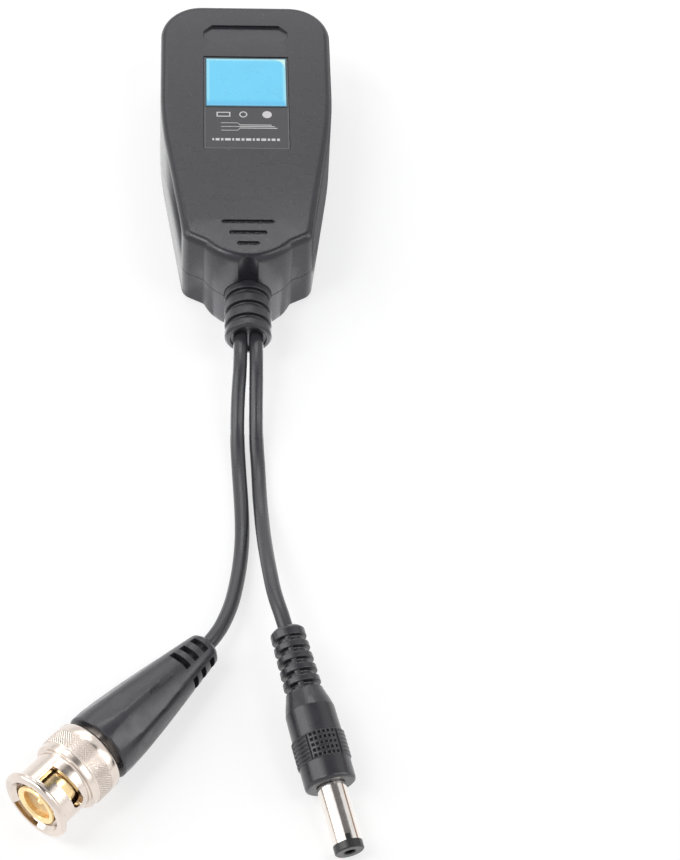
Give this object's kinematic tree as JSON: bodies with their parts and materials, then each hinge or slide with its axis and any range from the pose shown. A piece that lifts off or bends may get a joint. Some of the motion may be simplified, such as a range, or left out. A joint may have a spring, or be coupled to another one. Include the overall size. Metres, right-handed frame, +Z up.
{
  "type": "passive video balun with coaxial and power leads",
  "caption": "Flat moulded inline housing with a modular network socket at one end and two short leads at the other, ending in a bayonet coaxial plug and a barrel power plug.",
  "frame": {"origin": "centre of the housing's underside on the surface it lies on, midway between its two ends", "axes": "+Z up through the labelled face, +Y along the housing towards the network socket, -Y towards the leads, +X to the side of the power lead"},
  "size_m": [0.0642, 0.1969, 0.02],
  "materials": {
    "housing": "fine matt texture",
    "label_dark": "satin film",
    "label_blue": "gloss film",
    "socket_plastic": "satin",
    "gold_contact": "gold plated",
    "board": "satin",
    "ferrite": "matt",
    "copper": "enamelled",
    "component_white": "gloss",
    "component_black": "gloss",
    "wire_red": "satin",
    "wire_black": "satin",
    "relief": "matt",
    "lead_jacket": "satin",
    "boot": "satin",
    "nickel": "satin nickel plate",
    "insulator_white": "satin",
    "insulator_black": "satin",
    "gasket": "matt",
    "spring_steel": "plain",
    "bright_nickel": "bright nickel plate"
  },
  "bodies": {
    "balun": {"front_cover": "housing", "rear_cover": "housing", "label_plate": "label_dark", "label_colour_field": "label_blue", "rj45_jack": "socket_plastic", "rj45_contact_1": "gold_contact", "rj45_contact_2": "gold_contact", "rj45_contact_3": "gold_contact", "rj45_contact_4": "gold_contact", "rj45_contact_5": "gold_contact", "rj45_contact_6": "gold_contact", "rj45_contact_7": "gold_contact", "rj45_contact_8": "gold_contact", "circuit_board": "board", "balun_core": "ferrite", "balun_winding": "copper", "surge_suppressor": "component_white", "filter_capacitor": "component_black", "video_core_wire": "wire_red", "video_screen_wire": "wire_black", "power_positive_wire": "wire_red", "power_negative_wire": "wire_black", "cable_strain_relief": "relief", "bnc_lead": "lead_jacket", "dc_lead": "lead_jacket", "bnc_boot": "boot", "bnc_body": "nickel", "bnc_contact_sleeve": "gold_contact", "bnc_insulator": "insulator_white", "bnc_centre_pin": "gold_contact", "bnc_gasket": "gasket", "bnc_wave_washer": "spring_steel", "dc_plug_boot": "boot", "dc_plug_barrel": "bright_nickel", "dc_plug_tip_insulator": "insulator_black", "dc_plug_inner_contact": "bright_nickel"},
    "nut_thrust": {"bnc_thrust_washer": "spring_steel"},
    "coupling": {"bnc_coupling_nut": "nickel", "bnc_retaining_ring": "spring_steel"}
  },
  "joints": [
    {"name": "nut_push", "type": "slide", "parent": "balun", "child": "nut_thrust", "axis": [-0.6559, -0.7519, 0.0663], "range_m": [0, 0.0008], "stiffness_N_per_m": 500, "springref_m": -0.0004, "deforming": ["bnc_wave_washer"]},
    {"name": "nut_turn", "type": "hinge", "parent": "nut_thrust", "child": "coupling", "pos_m": [-0.03941, -0.15265, 0.00829], "axis": [-0.6559, -0.7519, 0.0663], "continuous": true}
  ]
}
